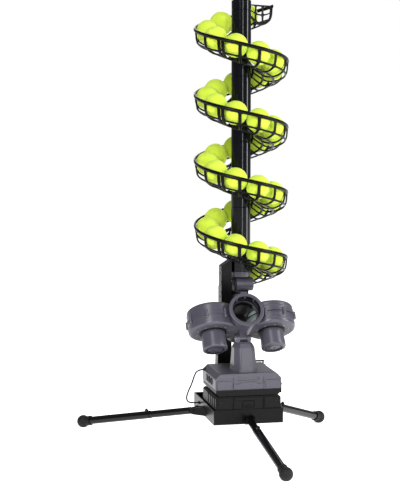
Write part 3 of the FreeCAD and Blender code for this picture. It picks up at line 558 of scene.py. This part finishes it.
def add_panel(name, outline, place, across, up, depth, slot):
    """A raised panel with bevelled edges: outline is (across, up) in drawing units on a face at place."""
    bm = bmesh.new()
    out = across.cross(up).normalized()
    verts = [bm.verts.new(place + (across * a + up * b) * U) for a, b in outline]
    face = bm.faces.new(verts)
    if face.normal.dot(out) < 0:
        face.normal_flip()
    made = bmesh.ops.extrude_face_region(bm, geom=[face])
    top = [v for v in made["geom"] if isinstance(v, bmesh.types.BMVert)]
    bmesh.ops.translate(bm, vec=out * depth * U, verts=top)
    bmesh.ops.recalc_face_normals(bm, faces=bm.faces)
    mesh = bpy.data.meshes.new(name + "_mesh")
    bm.to_mesh(mesh)
    bm.free()
    thing = piece(name, mesh, slot, smooth=False)
    edge = thing.modifiers.new("edge", "BEVEL")
    edge.width = min(1.0, depth * 0.45) * U
    edge.segments = 2
    return thing


def add_case_panels():
    """Raised panels on the fronts of the two cases, and ribs on the left side of the battery case."""
    right, up = Vector((1, 0, 0)), Vector((0, 0, 1))
    lid_middle = [(-50, 213), (50, 213), (50, 229), (30, 229), (24, 235), (-24, 235), (-30, 229), (-50, 229)]
    front = [
        ("lid_panel_left", [(-104, 213), (-62, 213), (-56, 219), (-56, 240), (-104, 240)], "grey_plastic"),
        ("lid_panel_right", [(104, 213), (62, 213), (56, 219), (56, 240), (104, 240)], "grey_plastic"),
        ("lid_panel_middle", lid_middle, "grey_plastic"),
        ("battery_panel_left", [(-104, 148), (-60, 148), (-54, 154), (-54, 184), (-104, 184)],
         "black_plastic"),
        ("battery_panel_right", [(104, 148), (60, 148), (54, 154), (54, 184), (104, 184)], "black_plastic"),
        ("battery_panel_top", [(-48, 175), (48, 175), (48, 184), (-48, 184)], "black_plastic")]
    for name, outline, slot in front:
        add_panel(name, outline, base_point(0, CASE_FRONT + 0.2, 0), right, up, 3.0, slot)
    for n in range(4):
        y = -92 + 30 * n
        outline = [(-y - 9, 150), (-y + 9, 150), (-y + 9, 182), (-y - 9, 182)]
        add_panel("battery_side_rib_%d" % (n + 1), outline, base_point(-108.3, 0, 0), out_front, up, 2.4,
                  "black_plastic")


add_case_panels()


def add_base_details():
    case_screws = [(base_point(side * 92, CASE_FRONT - 2.8, 171), out_front) for side in (-1, 1)]
    add_turned("case_screws", scaled_screw(1.3), case_screws, "button_plastic")
    for n, y in enumerate((-61, -27), start=1):
        place = base_point(-110, y, SOCKET_HEIGHT)
        add_ring("socket_bezel_%d" % n, 12, 8, 2.2, place, out_left, "black_plastic")
        pins = [(base_point(-107, y + 3.6 * math.cos(a), SOCKET_HEIGHT + 3.6 * math.sin(a)), out_left)
                for a in (0.5, 2.6, 4.7)]
        add_turned("socket_pins_%d" % n, [(1.1, 0), (1.1, 4), (0.6, 4.6)], pins, "dull_steel", sides=10)
        floor_spot = (base_point(-106.5, y, SOCKET_HEIGHT), out_left)
        add_turned("socket_floor_%d" % n, [(8.8, 0), (8.8, 1)], [floor_spot], "black_plastic")
    post_screws = [(base_point(-31, 152, z), out_left) for z in (570, 529, 492, 455)]
    add_turned("post_screws", scaled_screw(1.1), post_screws, "dull_steel", "root", 16)


add_base_details()


# ---------------------------------------------------------------- power cable
CABLE_ROUTE = [(-112, 55, 249), (-134, 57, 246), (-143, 61, 224), (-150, 67, 197), (-160, 75, 172),
               (-165, 84, 148), (-157, 95, 131), (-137, 100, 127), (-120, 101, 126.5)]
cable_points = [base_point(*spot) for spot in CABLE_ROUTE]


def add_cable():
    curve = bpy.data.curves.new("power_cable_curve", "CURVE")
    curve.dimensions = "3D"
    curve.bevel_depth = 2.6 * U
    curve.bevel_resolution = 4
    spline = curve.splines.new("NURBS")
    spline.points.add(len(cable_points) - 1)
    for point, spot in zip(spline.points, cable_points):
        point.co = (*spot, 1)
    spline.order_u = 3
    spline.use_endpoint_u = True
    spline.resolution_u = 12
    cable = bpy.data.objects.new("power_cable_look", curve)
    bpy.context.scene.collection.objects.link(cable)
    curve.materials.append(MATERIALS["cable_sheath"])
    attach(cable, "root")
    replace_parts(cable, "power_cable")


add_cable()


# ---------------------------------------------------------------- light and floor
def add_area(name, location, target, size, power):
    data = bpy.data.lights.new(name, "AREA")
    data.shape = "RECTANGLE"
    data.size, data.size_y = size
    data.energy = power
    light = bpy.data.objects.new(name, data)
    bpy.context.scene.collection.objects.link(light)
    light.location = location
    light.rotation_euler = (Vector(target) - Vector(location)).to_track_quat("-Z", "Y").to_euler()


FLOOR_REACH = 9              # metres from the middle to each side
WORLD_SEEN = 1.0
WORLD_LIGHT = 0.24           # the room is dimmer to the light it gives than to the eye


def add_stage():
    mesh = bpy.data.meshes.new("floor_mesh")
    corners = [(x * FLOOR_REACH, y * FLOOR_REACH, 0) for x, y in ((-1, -1), (1, -1), (1, 1), (-1, 1))]
    mesh.from_pydata(corners, [], [(0, 1, 2, 3)])
    floor = bpy.data.objects.new("floor", mesh)
    bpy.context.scene.collection.objects.link(floor)
    n = Nodes("floor_look")
    n.set(Base_Color=(0.95, 0.95, 0.95, 1), Roughness=0.8, Specular_IOR_Level=0.0)
    n.set(Emission_Color=(1, 1, 1, 1), Emission_Strength=0.85)
    mesh.materials.append(n.material)
    bpy.context.scene.view_settings.view_transform = "Standard"
    world = bpy.data.worlds.new("studio")
    world.use_nodes = True
    background = world.node_tree.nodes["Background"]
    background.inputs["Strength"].default_value = WORLD_SEEN
    path = world.node_tree.nodes.new("ShaderNodeLightPath")
    mix = world.node_tree.nodes.new("ShaderNodeMix")
    mix.data_type = "RGBA"
    mix.inputs["A"].default_value = (WORLD_LIGHT, WORLD_LIGHT, WORLD_LIGHT * 1.04, 1)
    mix.inputs["B"].default_value = (1, 1, 1, 1)
    world.node_tree.links.new(path.outputs["Is Camera Ray"], mix.inputs["Factor"])
    world.node_tree.links.new(mix.outputs["Result"], background.inputs["Color"])
    bpy.context.scene.world = world
    target = (column.x, column.y - 0.1, 0.6)
    add_area("key", (-1.5, -2.6, 2.5), target, (0.8, 2.0), 95)
    add_area("strip", (0.45, -3.4, 1.4), target, (0.3, 2.6), 40)
    add_area("fill", (2.7, -1.0, 1.3), target, (0.6, 2.4), 70)
    add_area("rim", (0.6, 2.6, 2.4), target, (1.6, 1.6), 30)


add_stage()
